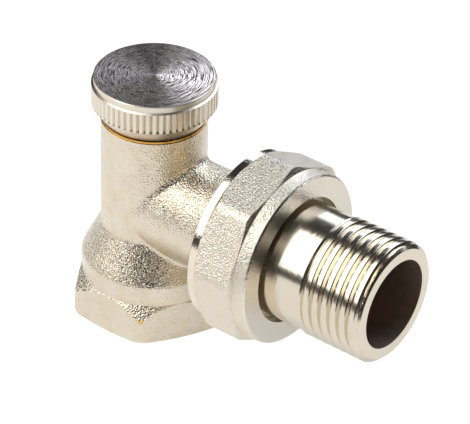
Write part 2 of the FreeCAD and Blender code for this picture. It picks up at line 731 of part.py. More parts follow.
def make_disc_screw():
    """Slotted screw that clamps the rubber washer to the disc holder."""
    body = new_body("disc_screw")
    turn_solid(body, "screw", [
        (None, "screw_head_end"),
        ("screw_head_radius", "screw_head_end"),
        ("screw_head_radius", "disc_seal_end"),
        ("screw_radius", "disc_seal_end"),
        ("screw_radius", "screw_tip"),
        (None, "screw_tip"),
    ])
    cross_slot(
        body, "screw_slot", "screw_slot_width", "disc_diameter", "screw_head_end", "screw_slot_depth",
        upwards=True,
    )
    return body


def make_cap():
    """Protective cap: coned foot, straight knurl, plain band and flat top."""
    body = new_body("cap")
    turn_solid(body, "shell", [
        ("cap_bore_radius", "cap_end"),
        ("cap_foot_radius", "cap_end"),
        ("cap_radius", "cap_foot_top"),
        ("cap_radius", "knurl_top"),
        ("cap_band_radius", "cap_band_end"),
        ("cap_band_radius", "cap_top"),
        (None, "cap_top"),
        (None, "cap_ceiling"),
        ("cap_bore_radius", "cap_ceiling"),
    ])
    round_edges(body, "top_edge", "cap_edge_radius", at_cap_top)
    notch = new_sketch(body, "notch_outline", "XY_Plane", z="cap_foot_top")
    draw_notch(notch, "knurl_root_radius", "knurl_mouth_radius", "knurl_mouth_width")
    first = pocket(body, "notch", notch, "knurl_height", upwards=True)
    knurl = body.newObject("PartDesign::PolarPattern", "knurl")
    knurl.Originals = [first]
    knurl.Axis = (origin_part(body, "Z_Axis"), [""])
    knurl.Angle = FULL_TURN
    knurl.setExpression("Occurrences", cell("knurl_count"))
    body.Tip = knurl
    doc.recompute()
    return body


def make_cap_gasket():
    """Flat gasket between the cap's ceiling and the top of the headwork."""
    body = new_body("cap_gasket")
    turn_solid(body, "gasket", [
        ("gasket_hole_radius", "gasket_end"),
        ("gasket_radius", "gasket_end"),
        ("gasket_radius", "cap_ceiling"),
        ("gasket_hole_radius", "cap_ceiling"),
    ])
    return body


def make_union_nut():
    """Union nut: eight flats with rounded corners between two turned collars, and a lip at the front."""
    body = new_body("union_nut", on_branch=True)
    bar = new_sketch(body, "bar_outline", "YZ_Plane", z="nut_back")
    draw_polygon(bar, OCTAGON_SIDE_COUNT, "nut_across_flats", turn="nut_turn_angle")
    pad = body.newObject("PartDesign::Pad", "bar")
    pad.Profile = bar
    pad.setExpression("Length", cell("nut_length"))
    doc.recompute()
    round_edges(body, "corners", "nut_corner_radius", along_nut)
    turn_solid(body, "front_collar", [
        ("nut_front_bevel_start", "nut_clear_radius"),
        ("nut_flat_end", "nut_collar_radius"),
        ("nut_front_edge", "nut_front_radius"),
        ("nut_front", "nut_face_radius"),
        ("nut_past_front", "nut_face_radius"),
        ("nut_past_front", "nut_clear_radius"),
    ], axis="H_Axis", cut=True)
    turn_solid(body, "back_collar", [
        ("nut_back_bevel_end", "nut_clear_radius"),
        ("nut_flat_start", "nut_collar_radius"),
        ("nut_back_edge", "nut_collar_radius"),
        ("nut_back", "nut_back_radius"),
        ("nut_before_back", "nut_back_radius"),
        ("nut_before_back", "nut_clear_radius"),
    ], axis="H_Axis", cut=True)
    turn_solid(body, "nut_bore", [
        ("nut_back", None),
        ("nut_back", "nut_mouth_radius"),
        ("nut_mouth_depth", "nut_thread_radius"),
        ("nut_lip", "nut_thread_radius"),
        ("nut_lip", "nut_hole_radius"),
        ("nut_front", "nut_hole_radius"),
        ("nut_front", None),
    ], axis="H_Axis", cut=True)
    return body


def make_tailpiece():
    """Tailpiece: sealed spigot, collar behind the nut's lip, barrel, male thread and a key hexagon inside."""
    body = new_body("tailpiece", on_branch=True)
    turn_solid(body, "tail", [
        ("spigot_start", "tail_neck_radius"),
        ("spigot_start", "spigot_tip_radius"),
        ("spigot_chamfer_end", "spigot_radius"),
        ("spigot_groove_start", "spigot_radius"),
        ("spigot_groove_start", "spigot_groove_radius"),
        ("spigot_groove_end", "spigot_groove_radius"),
        ("spigot_groove_end", "spigot_radius"),
        ("collar_back", "spigot_radius"),
        ("collar_back", "collar_radius"),
        ("collar_front", "collar_radius"),
        ("collar_front", "tail_barrel_radius"),
        ("tail_thread_start", "tail_barrel_radius"),
        ("tail_thread_ramp", "tail_thread_radius"),
        ("tail_chamfer_start", "tail_thread_radius"),
        ("tail_end", "tail_end_radius"),
        ("tail_end", "tail_bore_radius"),
        ("tail_bore_floor", "tail_bore_radius"),
        ("tail_cone_floor", "tail_neck_radius"),
    ], axis="H_Axis")
    key = new_sketch(body, "key_outline", "YZ_Plane", z="spigot_start")
    draw_polygon(key, HEXAGON_SIDE_COUNT, "tail_key_across_flats")
    pocket(body, "key", key, "tail_key_depth", upwards=True)
    return body


def make_seals():
    """Round rubber rings in their grooves, and the open wire ring that holds the disc."""
    return [
        round_ring("spindle_o_ring_upper", "spindle_ring_radius", "spindle_ring_section", "upper_ring_level"),
        round_ring("spindle_o_ring_lower", "spindle_ring_radius", "spindle_ring_section", "lower_ring_level"),
        round_ring("bonnet_o_ring", "plug_ring_radius", "plug_ring_section", "plug_ring_level"),
        round_ring("disc_clip", "clip_ring_radius", "clip_wire_radius", "clip_level", angle="clip_angle"),
        round_ring(
            "tail_o_ring", "tail_ring_radius", "tail_ring_section", "branch_height", place="tail_ring_place",
        ),
    ]


def write_parts(parts):
    """Checks every object of the document, then writes each sub-part to a file of its own."""
    doc.recompute()
    failed = [item.Name for item in doc.Objects if {"Invalid", "Error"} & set(item.State)]
    failed += [part.Label for part in parts if part.Shape.isNull() or not part.Shape.isValid()]
    if failed:
        raise RuntimeError(f"failed objects: {failed}")
    os.makedirs("parts", exist_ok=True)
    for part in parts:
        part.Shape.exportStep(f"parts/{part.Label}.step")


write_parts([
    make_valve_body(),
    make_bonnet(),
    make_spindle(),
    make_disc_holder(),
    make_disc_seal(),
    make_disc_screw(),
    make_cap(),
    make_cap_gasket(),
    make_union_nut(),
    make_tailpiece(),
    *make_seals(),
])
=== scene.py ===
"""Looks of the angle lockshield radiator valve.

Plated and bare metal, the outer threads that the solids leave plain, the studio and the camera.
"""

import math
from typing import NamedTuple

import bmesh
import bpy
from mathutils import Matrix, Vector


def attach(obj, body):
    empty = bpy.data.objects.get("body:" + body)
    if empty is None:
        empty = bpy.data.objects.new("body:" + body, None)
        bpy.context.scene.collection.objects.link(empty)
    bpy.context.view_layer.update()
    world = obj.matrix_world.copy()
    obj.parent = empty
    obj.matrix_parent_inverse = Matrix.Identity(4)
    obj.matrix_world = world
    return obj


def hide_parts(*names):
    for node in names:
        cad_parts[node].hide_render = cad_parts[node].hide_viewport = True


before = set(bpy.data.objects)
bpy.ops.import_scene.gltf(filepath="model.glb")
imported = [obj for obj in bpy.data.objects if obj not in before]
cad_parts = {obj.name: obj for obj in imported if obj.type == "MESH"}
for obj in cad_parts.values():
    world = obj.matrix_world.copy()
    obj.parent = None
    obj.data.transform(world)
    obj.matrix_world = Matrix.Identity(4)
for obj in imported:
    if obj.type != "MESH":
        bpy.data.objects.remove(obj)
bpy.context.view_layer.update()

MM = 0.001
FULL_TURN = 2 * math.pi
UP = (0.0, 0.0, 1.0)
WHITE = (1.0, 1.0, 1.0, 1.0)


class Finish(NamedTuple):
    """A finish that varies by noise, with the noise in grains per metre and the relief in metres."""

    name: str
    tints: tuple
    tint_grains: float
    roughness: tuple
    rough_grains: float
    relief_grains: float = 0.0
    relief_height: float = 0.0
    metallic: float = 1.0


class Thread(NamedTuple):
    """A thread that a cutter makes, with its ends along the axis, in millimetres."""

    radius: float
    pitch: float
    depth: float
    free_end: float
    root_end: float


class Panel(NamedTuple):
    """A soft rectangular lamp, with its direction in degrees and its size in metres."""

    name: str
    azimuth: float
    elevation: float
    width: float
    height: float
    radiance: float
    colour: tuple


# Metals and rubber, as the colour that each one reflects
NICKEL = (0.80, 0.725, 0.60)
NICKEL_SHADE = (0.73, 0.65, 0.52)
NICKEL_TAN = (0.74, 0.64, 0.48)
NICKEL_PALE = (0.87, 0.80, 0.68)
NICKEL_PALE_SHADE = (0.82, 0.745, 0.62)
NICKEL_GREY = (0.74, 0.645, 0.58)
# Painted shade: a near-black tint for the cap top's ridges that lean inward, standing in for the dark
# room they reflect
NICKEL_PAINTED_SHADE = (0.085, 0.077, 0.072)
BORE = (0.56, 0.44, 0.35)
BORE_SHADE = (0.36, 0.28, 0.22)
BRASS = (0.80, 0.47, 0.12)
BRASS_SHADE = (0.62, 0.33, 0.07)
STEEL = (0.58, 0.57, 0.55)
STEEL_SHADE = (0.47, 0.46, 0.45)
RUBBER = (0.018, 0.018, 0.019)
RUBBER_PALE = (0.032, 0.031, 0.030)

# The cap's fine-turned and knurled sides
SATIN_NICKEL = Finish(
    "nickel_satin",
    tints=(NICKEL, NICKEL_PALE),
    tint_grains=220.0,
    roughness=(0.26, 0.36),
    rough_grains=900.0,
    relief_grains=2600.0,
    relief_height=0.02 * MM,
)

# Thin, dull plating inside the tailpiece
DULL_BORE = Finish(
    "dull_bore",
    tints=(BORE_SHADE, BORE),
    tint_grains=600.0,
    roughness=(0.46, 0.62),
    rough_grains=1400.0,
)

# Turned brass without plating
BARE_BRASS = Finish(
    "bare_brass",
    tints=(BRASS_SHADE, BRASS),
    tint_grains=500.0,
    roughness=(0.20, 0.34),
    rough_grains=900.0,
    relief_grains=1500.0,
    relief_height=0.01 * MM,
)

# Spring wire of stainless steel
CLIP_STEEL = Finish(
    "clip_steel",
    tints=(STEEL_SHADE, STEEL),
    tint_grains=1200.0,
    roughness=(0.22, 0.36),
    rough_grains=2000.0,
)

# Black rubber of the rings and washers
SEAL_RUBBER = Finish(
    "seal_rubber",
    tints=(RUBBER, RUBBER_PALE),
    tint_grains=800.0,
    roughness=(0.48, 0.66),
    rough_grains=1600.0,
    relief_grains=3000.0,
    relief_height=0.01 * MM,
    metallic=0.0,
)

# The tailpiece's bright turned surface, with shallow waves and fine lathe marks round it
BRIGHT_NICKEL = Finish(
    "nickel_bright",
    tints=(NICKEL_SHADE, NICKEL),
    tint_grains=220.0,
    roughness=(0.13, 0.22),
    rough_grains=900.0,
    relief_grains=520.0,
    relief_height=0.02 * MM,
)
WAVE_DETAIL = 3.0
LATHE_MARKS = (2600.0, 160.0, 160.0)

# The body's shot-blasted forging, whose grain is deeper on faces that look up
GRAINS_PER_METRE = 3300.0
GRAIN_DETAIL = 1.5
GRAIN_HEIGHT = 0.21 * MM
GRAIN_SHARE = (0.62, 0.90)
UPWARD_STEP = (-0.1, 0.6)
BLASTED_TINT_GRAINS = 420.0
BLASTED_TINT_DETAIL = 4.0
BLASTED_TINT_STEP = (0.15, 0.85)
BLASTED_ROUGH_GRAINS = 700.0
BLASTED_ROUGHNESS = (0.11, 0.17)

# Chips in the body's plating: centre and radius in millimetres, then the raggedness of their edges
CHIPS = (
    ((6.19, -6.6, 36.58), 0.24),
    ((7.2, -12.1, 4.85), 0.5),
    ((0.09, -12.35, 10.64), 0.22),
    ((9.08, -8.37, 14.08), 0.24),
)
CHIP_GRAINS = 1500.0
CHIP_RAGGED = 0.5
CHIP_FADE = 1.15

# The union nut: a bright collar up to the start of the forged part, whose flats are blasted
NUT_FLAT_START = 20.92
NUT_FLAT_LEAN = 0.2
NUT_TINT_GRAINS = 160.0
NUT_GRAINS = 3500.0
NUT_ROUGHNESS = (0.12, 0.26)
NUT_RELIEF = (0.08, 0.40)
NUT_FLAT_ROUGHNESS = 0.08
NUT_FLAT_RELIEF = 0.42

# The cap's top: fine turned rings, and the slopes of the ridges between them
RING_FINENESS = 11000.0
RING_BREAKS = 2.6
RING_DETAIL = 3.0
RIDGE_STEP = (0.38, 0.58)
RIDGE_INWARD = 0.49
RIDGE_OUTWARD = 0.30
SPUN_ROUGHNESS = (0.22, 0.30)
TOP_FACING = 0.99
TOP_LAYER = 0.01 * MM

# CAD nodes that share a finish
BRASS_NODES = ("bonnet", "spindle", "disc_holder", "disc_screw")
RUBBER_NODES = (
    "bonnet_o_ring",
    "spindle_o_ring_upper",
    "spindle_o_ring_lower",
    "disc_seal",
    "cap_gasket",
    "tail_o_ring",
)

# Lengths along the tailpiece, and its radii, in millimetres
BRANCH_HEIGHT = 22.28
SPIGOT_START = 23.3
SPIGOT_CHAMFER = 0.4
SPIGOT_RADIUS = 8.94
GROOVE_START = 24.5
GROOVE_END = 25.8
GROOVE_RADIUS = 7.94
COLLAR_BACK = 27.1
COLLAR_FRONT = 28.9
COLLAR_RADIUS = 11.9
BARREL_RADIUS = 10.2475
THREAD_START = 38.4
THREAD_RADIUS = 10.4775
TAIL_CHAMFER = 0.8
TAIL_END = 50.3
BORE_RADIUS = 7.79
BORE_FLOOR = 36.3
KEY_FLAT_RADIUS = 6.0
KEY_SIDES = 6

# The tailpiece's mesh: points in a ring, rings that lie in the bore, and the angle of a sharp edge
TAIL_SEGMENTS = 240
BORE_RINGS = 4
TURNED_EDGE = math.radians(35)

# The half-inch pipe thread, whose groove passes the mark at the phase
PIPE_PITCH = 1.814
THREAD_DEPTH = 0.8
THREAD_FLANK = math.radians(60)
THREAD_ROOT = 0.06
THREAD_PHASE = math.radians(130)
THREAD_MARK = 44.28
THREAD_RUN_OUT = 0.9
THREAD_STEP = 0.05

# The threads that are cut into the bonnet and the body, and the coil that cuts them
CAP_THREAD = Thread(radius=8.0, pitch=1.0, depth=0.5, free_end=43.6, root_end=38.6)
UNION_THREAD = Thread(radius=13.2205, pitch=PIPE_PITCH, depth=1.05, free_end=28.4, root_end=20.9)
COIL_CORNERS = 3
COIL_SEGMENTS = 96
COIL_LIP = 0.06
COIL_TIP = 0.02
COIL_FLANK = math.radians(30)
COIL_RUN_OUT = 0.6

# The cut copies: how close points are joined, and the angle of a sharp edge
WELD = 0.0001 * MM
FORGED_EDGE = math.radians(20)

# Lamps round the valve's centre, all at one distance in metres, with azimuth before elevation
VALVE_CENTRE = Vector((0.0175, 0.0, 0.024))
PANEL_DISTANCE = 0.9
PLAIN_LIGHT = (1.0, 1.0, 1.0)
COOL_LIGHT = (0.80, 0.87, 1.0)
PANELS = (
    Panel("key_panel", -40.0, 48.0, width=0.86, height=1.20, radiance=2.25, colour=PLAIN_LIGHT),
    Panel("back_panel", -176.0, 28.0, width=1.04, height=0.41, radiance=2.2, colour=COOL_LIGHT),
    Panel("back_glow", 172.0, 48.0, width=0.90, height=0.40, radiance=2.2, colour=COOL_LIGHT),
    Panel("front_card", 42.0, 42.0, width=0.30, height=0.26, radiance=1.0, colour=PLAIN_LIGHT),
)

# The floor sheet: its heading, and how far it reaches along and across that, in metres
FLOOR_HEADING = Vector((-0.469, -0.883, 0.0))
FLOOR_REACH = (-0.14, 1.5)
FLOOR_SIDES = (-0.15, 0.125)
FLOOR_LEVEL = -0.00002
FLOOR_ALBEDO = (0.86, 0.86, 0.855, 1.0)
FLOOR_WHITE = 1.18

# Shares of the floor's own white, and a painted shadow that makes it weaker in mirror rays, under and
# behind the tail
SHARE_SEEN = 0.82
SHARE_MIRRORED = 0.65
SHARE_PAINTED_SHADOW = 0.30
SHADE_START = (-0.005, 0.015)
SHADE_STOP = (0.064, 0.05)
SHADE_DEEP = (-0.02, 0.0)

# The room round the table, from its horizon to its ceiling
ROOM_HORIZON = (0.045, 0.043, 0.042)
ROOM_CEILING = (0.035, 0.034, 0.036)
ROOM_RISE = (0.05, 0.55)

# The photograph's viewpoint
CAMERA_PLACE = Vector((0.24492, -0.30042, 0.28569))
CAMERA_TARGET = Vector((0.017483, 0.0, 0.0258))
CAMERA_ROLL = math.radians(1.703)
CAMERA_LENS = 210.38
CAMERA_SENSOR = 36.0
CAMERA_CLIP = 0.01


def feed(tree, target, value):
    """Links an output to an input, or sets the input's own value."""
    if isinstance(value, bpy.types.NodeSocket):
        tree.links.new(value, target)
    else:
        target.default_value = value


def add_node(tree, kind, **sockets):
    """Adds a node and feeds its inputs by name."""
    node = tree.nodes.new(kind)
    for name, value in sockets.items():
        feed(tree, node.inputs[name], value)
    return node


def math_node(tree, operation, *values):
    """The value of a Math node, by its operation and its inputs in order."""
    node = tree.nodes.new("ShaderNodeMath")
    node.operation = operation
    for target, value in zip(node.inputs, values):
        feed(tree, target, value)
    return node.outputs["Value"]


def vector_node(tree, operation, *vectors):
    """The outputs of a Vector Math node, by its operation and its vectors in order."""
    node = tree.nodes.new("ShaderNodeVectorMath")
    node.operation = operation
    for target, value in zip(node.inputs, vectors):
        feed(tree, target, value)
    return node.outputs


def step_between(tree, value, low, high):
    """Goes smoothly from 0 at low to 1 at high, and falls where low is the larger."""
    node = tree.nodes.new("ShaderNodeMapRange")
    node.interpolation_type = "SMOOTHSTEP"
    for name, number in (("From Min", low), ("From Max", high), ("To Min", 0.0), ("To Max", 1.0)):
        node.inputs[name].default_value = number
    tree.links.new(value, node.inputs["Value"])
    return node.outputs["Result"]


def spread(tree, value, low, high):
    """Maps 0 to 1 onto another range."""
    node = tree.nodes.new("ShaderNodeMapRange")
    node.inputs["To Min"].default_value = low
    node.inputs["To Max"].default_value = high
    tree.links.new(value, node.inputs["Value"])
    return node.outputs["Result"]


def mix_colours(tree, factor, first, second):
    """Mixes two colours by a factor."""
    node = tree.nodes.new("ShaderNodeMix")
    node.data_type = "RGBA"
    feed(tree, node.inputs["Factor"], factor)
    for name, colour in (("A", first), ("B", second)):
        target = next(s for s in node.inputs if s.name == name and s.type == "RGBA")
        feed(tree, target, colour if isinstance(colour, bpy.types.NodeSocket) else (*colour, 1.0))
    return next(s for s in node.outputs if s.type == "RGBA")


def mix_shaders(tree, factor, first, second):
    """Mixes two shaders by a factor."""
    node = tree.nodes.new("ShaderNodeMixShader")
    for target, value in zip(node.inputs, (factor, first, second)):
        feed(tree, target, value)
    return node.outputs["Shader"]


def object_place(tree):
    """The place on the part, in metres, with its X, Y and Z."""
    place = tree.nodes.new("ShaderNodeTexCoord").outputs["Object"]
    parts = add_node(tree, "ShaderNodeSeparateXYZ", Vector=place).outputs
    return place, parts["X"], parts["Y"], parts["Z"]


def face_normal(tree):
    """The normal of the face itself, by X, Y and Z."""
    normal = tree.nodes.new("ShaderNodeNewGeometry").outputs["True Normal"]
    return add_node(tree, "ShaderNodeSeparateXYZ", Vector=normal).outputs


def noise(tree, vector, scale=1.0, detail=2.0):
    """Noise from 0 to 1, with a scale in grains for each unit of the vector."""
    return add_node(tree, "ShaderNodeTexNoise", Vector=vector, Scale=scale, Detail=detail).outputs["Fac"]


def bump(tree, height, distance):
    """A bump node that tilts the surface by a height from 0 to 1 over a distance in metres."""
    return add_node(tree, "ShaderNodeBump", Height=height, Distance=distance, Strength=1.0)


def new_material(name, metallic=1.0):
    """A material with one Principled shader, with its node tree and the shader's inputs."""
    material = bpy.data.materials.new(name)
    material.use_nodes = True
    inputs = material.node_tree.nodes["Principled BSDF"].inputs
    inputs["Metallic"].default_value = metallic
    return material, material.node_tree, inputs


def start_finish(finish):
    """A material with a finish's tint and roughness, with the parts that a relief is added to."""
    material, tree, inputs = new_material(finish.name, finish.metallic)
    place, *_ = object_place(tree)
    tint = mix_colours(tree, noise(tree, place, finish.tint_grains), *finish.tints)
    feed(tree, inputs["Base Color"], tint)
    roughness = spread(tree, noise(tree, place, finish.rough_grains), *finish.roughness)
    feed(tree, inputs["Roughness"], roughness)
    return material, tree, inputs, place


def make_plain(finish):
    """A finish that varies by noise alone, with a fine relief where it has one."""
    material, tree, inputs, place = start_finish(finish)
    if finish.relief_height:
        relief = bump(tree, noise(tree, place, finish.relief_grains), finish.relief_height)
        feed(tree, inputs["Normal"], relief.outputs["Normal"])
    return material


def make_bright_nickel():
    """Nickel over a smooth turned and threaded surface: lathe marks over shallow waves."""
    finish = BRIGHT_NICKEL
    material, tree, inputs, place = start_finish(finish)
    waves = bump(tree, noise(tree, place, finish.relief_grains, WAVE_DETAIL), finish.relief_height)
    stretched = vector_node(tree, "MULTIPLY", place, LATHE_MARKS)["Vector"]
    marks = bump(tree, noise(tree, stretched), finish.relief_height)
    feed(tree, marks.inputs["Normal"], waves.outputs["Normal"])
    feed(tree, inputs["Normal"], marks.outputs["Normal"])
    return material


def chipped(tree, place, colour):
    """Shows brass through the plating at the chips."""
    for centre, radius in CHIPS:
        spot = tuple(c * MM for c in centre)
        distance = vector_node(tree, "DISTANCE", place, spot)["Value"]
        roughened = noise(tree, place, CHIP_GRAINS)
        ragged = math_node(tree, "MULTIPLY_ADD", roughened, CHIP_RAGGED * radius * MM, distance)
        plated = step_between(tree, ragged, radius * MM, CHIP_FADE * radius * MM)
        colour = mix_colours(tree, plated, BRASS, colour)
    return colour


def make_blasted_nickel():
    """Nickel over a shot-blasted forging."""
    material, tree, inputs = new_material("nickel_blasted")
    place, *_ = object_place(tree)
    clouds = noise(tree, place, BLASTED_TINT_GRAINS, BLASTED_TINT_DETAIL)
    tint = mix_colours(tree, step_between(tree, clouds, *BLASTED_TINT_STEP), NICKEL_TAN, NICKEL)
    feed(tree, inputs["Base Color"], chipped(tree, place, tint))
    roughness = spread(tree, noise(tree, place, BLASTED_ROUGH_GRAINS), *BLASTED_ROUGHNESS)
    feed(tree, inputs["Roughness"], roughness)
    upward = step_between(tree, face_normal(tree)["Z"], *UPWARD_STEP)
    grain = noise(tree, place, GRAINS_PER_METRE, GRAIN_DETAIL)
    height = math_node(tree, "MULTIPLY", grain, spread(tree, upward, *GRAIN_SHARE))
    feed(tree, inputs["Normal"], bump(tree, height, GRAIN_HEIGHT).outputs["Normal"])
    return material


def make_nut_nickel():
    """Nickel on the union nut: blasted flats, a satin front and a bright turned collar at the back."""
    material, tree, inputs = new_material("nickel_nut")
    place, along, *_ = object_place(tree)
    lean = math_node(tree, "ABSOLUTE", face_normal(tree)["X"])
    upright = math_node(tree, "LESS_THAN", lean, NUT_FLAT_LEAN)
    forged = math_node(tree, "GREATER_THAN", along, NUT_FLAT_START * MM)
    blasted = math_node(tree, "MULTIPLY", upright, forged)
    tint = mix_colours(tree, noise(tree, place, NUT_TINT_GRAINS), NICKEL_PALE_SHADE, NICKEL_PALE)
    feed(tree, inputs["Base Color"], tint)
    satin = spread(tree, forged, *NUT_ROUGHNESS)
    roughness = math_node(tree, "MULTIPLY_ADD", blasted, NUT_FLAT_ROUGHNESS, satin)
    feed(tree, inputs["Roughness"], roughness)
    shallow = spread(tree, forged, *NUT_RELIEF)
    relief = math_node(tree, "MULTIPLY_ADD", blasted, NUT_FLAT_RELIEF, shallow)
    height = math_node(tree, "MULTIPLY", noise(tree, place, NUT_GRAINS, GRAIN_DETAIL), relief)
    feed(tree, inputs["Normal"], bump(tree, height, GRAIN_HEIGHT).outputs["Normal"])
    return material


def ring_marks(tree, radius, angle):
    """Marks left by turning: fine rings that fade in and out round the axis."""
    fine = math_node(tree, "MULTIPLY", radius, RING_FINENESS)
    broken = math_node(tree, "MULTIPLY", angle, RING_BREAKS)
    vector = add_node(tree, "ShaderNodeCombineXYZ", X=fine, Y=broken, Z=0.0).outputs["Vector"]
    return noise(tree, vector, detail=RING_DETAIL)


def make_spun_nickel():
    """Nickel on the cap's top, turned in fine ridges that lean inward and outward, with painted shade: a
    near-black tint on the ridges that lean inward.
    """
    material, tree, inputs = new_material("nickel_spun")
    _, x, y, _ = object_place(tree)
    flat = add_node(tree, "ShaderNodeCombineXYZ", X=x, Y=y, Z=0.0).outputs["Vector"]
    radius = vector_node(tree, "LENGTH", flat)["Value"]
    marks = ring_marks(tree, radius, math_node(tree, "ARCTAN2", y, x))
    ridge = step_between(tree, marks, *RIDGE_STEP)
    # Painted shade: the ridges that lean inward take the near-black tint, the others take grey
    feed(tree, inputs["Base Color"], mix_colours(tree, ridge, NICKEL_PAINTED_SHADE, NICKEL_GREY))
    feed(tree, inputs["Roughness"], spread(tree, marks, *SPUN_ROUGHNESS))
    slope = spread(tree, ridge, -RIDGE_INWARD, RIDGE_OUTWARD)
    steep = add_node(tree, "ShaderNodeCombineXYZ", X=slope, Y=slope, Z=0.0).outputs["Vector"]
    outward = vector_node(tree, "NORMALIZE", flat)["Vector"]
    lean = vector_node(tree, "MULTIPLY", outward, steep)["Vector"]
    upright = vector_node(tree, "ADD", lean, UP)["Vector"]
    turned = add_node(tree, "ShaderNodeVectorTransform", Vector=upright)
    turned.vector_type = "NORMAL"
    turned.convert_from = "OBJECT"
    turned.convert_to = "WORLD"
    feed(tree, inputs["Normal"], turned.outputs["Vector"])
    return material


def dress(node, material):
    """Gives a CAD node its material."""
    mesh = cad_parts[node].data
    mesh.materials.clear()
    mesh.materials.append(material)


def dress_cap(sides, top):
    """Gives the cap one finish on its sides and another on its flat top."""
    dress("cap", sides)
    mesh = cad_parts["cap"].data
    mesh.materials.append(top)
    top_level = max(vertex.co.z for vertex in mesh.vertices)
    for polygon in mesh.polygons:
        on_top = polygon.normal.z > TOP_FACING and polygon.center.z > top_level - TOP_LAYER
        polygon.material_index = int(on_top)


def add_object(name, data):
    """Adds an object to the scene."""
    thing = bpy.data.objects.new(name, data)
    bpy.context.scene.collection.objects.link(thing)
    return thing


def shade_smooth(mesh, edge_angle):
    """Shades a mesh smooth apart from its edges."""
    for polygon in mesh.polygons:
        polygon.use_smooth = True
    mesh.set_sharp_from_angle(angle=edge_angle)


def ring_faces(first, second, around):
    """Faces between two rings of points, by the number of the first point in each."""
    faces = []
    for j in range(around):
        k = (j + 1) % around
        faces.append((first + j, second + j, second + k, first + k))
    return faces


def round_spindle(along, radius, angle):
    """Place in metres of a point round the spindle's axis."""
    return (radius * math.cos(angle) * MM, radius * math.sin(angle) * MM, along * MM)


def round_branch(along, radius, angle):
    """Place in metres of a point round the branch's axis."""
    return (along * MM, radius * math.cos(angle) * MM, (BRANCH_HEIGHT + radius * math.sin(angle)) * MM)


def thread_radius(along, angle):
    """Radius of the tail's surface at a place in the threaded length."""
    turn = (along - THREAD_MARK) / PIPE_PITCH - (angle - THREAD_PHASE) / FULL_TURN
    off_groove = abs(turn - round(turn)) * PIPE_PITCH
    cut = THREAD_DEPTH - math.tan(THREAD_FLANK) * math.hypot(off_groove, THREAD_ROOT)
    groove = 0.5 * (cut + math.hypot(cut, THREAD_ROOT))
    run_out = min(max((along - THREAD_START) / THREAD_RUN_OUT, 0.0), 1.0)
    crest = THREAD_RADIUS if along > THREAD_START else BARREL_RADIUS
    chamfered = THREAD_RADIUS - max(along - (TAIL_END - TAIL_CHAMFER), 0.0)
    return min(crest - groove * run_out, chamfered)


def key_radius(angle):
    """Radius of the key hexagon's wall, with a flat that faces down."""
    side = FULL_TURN / KEY_SIDES
    off_flat = (angle + math.pi / 2 + side / 2) % side - side / 2
    return KEY_FLAT_RADIUS / math.cos(off_flat)


def tail_rings():
    """Rings of the tailpiece's surface, over the outside from the spigot and back through the bore."""
    steps = math.ceil((TAIL_END - THREAD_START) / THREAD_STEP)
    thread = [THREAD_START + (TAIL_END - THREAD_START) * i / steps for i in range(steps + 1)]
    fixed = [
        (SPIGOT_START, SPIGOT_RADIUS - SPIGOT_CHAMFER),
        (SPIGOT_START + SPIGOT_CHAMFER, SPIGOT_RADIUS),
        (GROOVE_START, SPIGOT_RADIUS),
        (GROOVE_START, GROOVE_RADIUS),
        (GROOVE_END, GROOVE_RADIUS),
        (GROOVE_END, SPIGOT_RADIUS),
        (COLLAR_BACK, SPIGOT_RADIUS),
        (COLLAR_BACK, COLLAR_RADIUS),
        (COLLAR_FRONT, COLLAR_RADIUS),
        (COLLAR_FRONT, BARREL_RADIUS),
    ]
    rings = [lambda angle, x=x, r=r: (x, r) for x, r in fixed]
    rings += [lambda angle, x=x: (x, thread_radius(x, angle)) for x in thread]
    rings.append(lambda angle: (TAIL_END, BORE_RADIUS))
    rings.append(lambda angle: (BORE_FLOOR, BORE_RADIUS))
    rings.append(lambda angle: (BORE_FLOOR - BORE_RADIUS + key_radius(angle), key_radius(angle)))
    rings.append(lambda angle: (SPIGOT_START, key_radius(angle)))
    return rings


def make_tailpiece(plating, inside):
    """Tailpiece with its real thread."""
    rings = tail_rings()
    angles = [FULL_TURN * i / TAIL_SEGMENTS for i in range(TAIL_SEGMENTS)]
    points = [round_branch(*ring(angle), angle) for ring in rings for angle in angles]
    faces = []
    for i in range(len(rings)):
        after = (i + 1) % len(rings)
        faces += ring_faces(i * TAIL_SEGMENTS, after * TAIL_SEGMENTS, TAIL_SEGMENTS)
    mesh = bpy.data.meshes.new("threaded_tailpiece")
    mesh.from_pydata(points, [], faces)
    mesh.validate()
    mesh.materials.append(plating)
    mesh.materials.append(inside)
    piece = add_object("threaded_tailpiece", mesh)
    bore_faces = (len(rings) - BORE_RINGS) * TAIL_SEGMENTS
    for polygon in mesh.polygons:
        polygon.material_index = int(polygon.index >= bore_faces)
    shade_smooth(mesh, TURNED_EDGE)
    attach(piece, "tail")
    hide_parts("tailpiece")


def helix_cutter(thread, place):
    """V-shaped coil that cuts a right-hand thread, from the free end to a run-out at the root end."""
    count = math.ceil((thread.free_end - thread.root_end) / thread.pitch * COIL_SEGMENTS)
    lip = thread.radius + COIL_LIP
    points = []
    for i in range(count + 1):
        turn = i / COIL_SEGMENTS
        along = thread.free_end - turn * thread.pitch
        left = (count - i) / COIL_SEGMENTS
        root = lip - (thread.depth + COIL_LIP) * min(left / COIL_RUN_OUT, 1.0) - COIL_TIP
        half = (lip - root) * math.tan(COIL_FLANK)
        for offset, reach in ((-half, lip), (half, lip), (0.0, root)):
            points.append(place(along + offset, reach, -FULL_TURN * turn))
    last = count * COIL_CORNERS
    faces = [(0, 1, 2), (last + 2, last + 1, last)]
    for i in range(count):
        faces += ring_faces(i * COIL_CORNERS, (i + 1) * COIL_CORNERS, COIL_CORNERS)
    mesh = bpy.data.meshes.new("thread_cutter")
    mesh.from_pydata(points, [], faces)
    work = bmesh.new()
    work.from_mesh(mesh)
    bmesh.ops.recalc_face_normals(work, faces=work.faces)
    work.to_mesh(mesh)
    work.free()
    return add_object("thread_cutter", mesh)


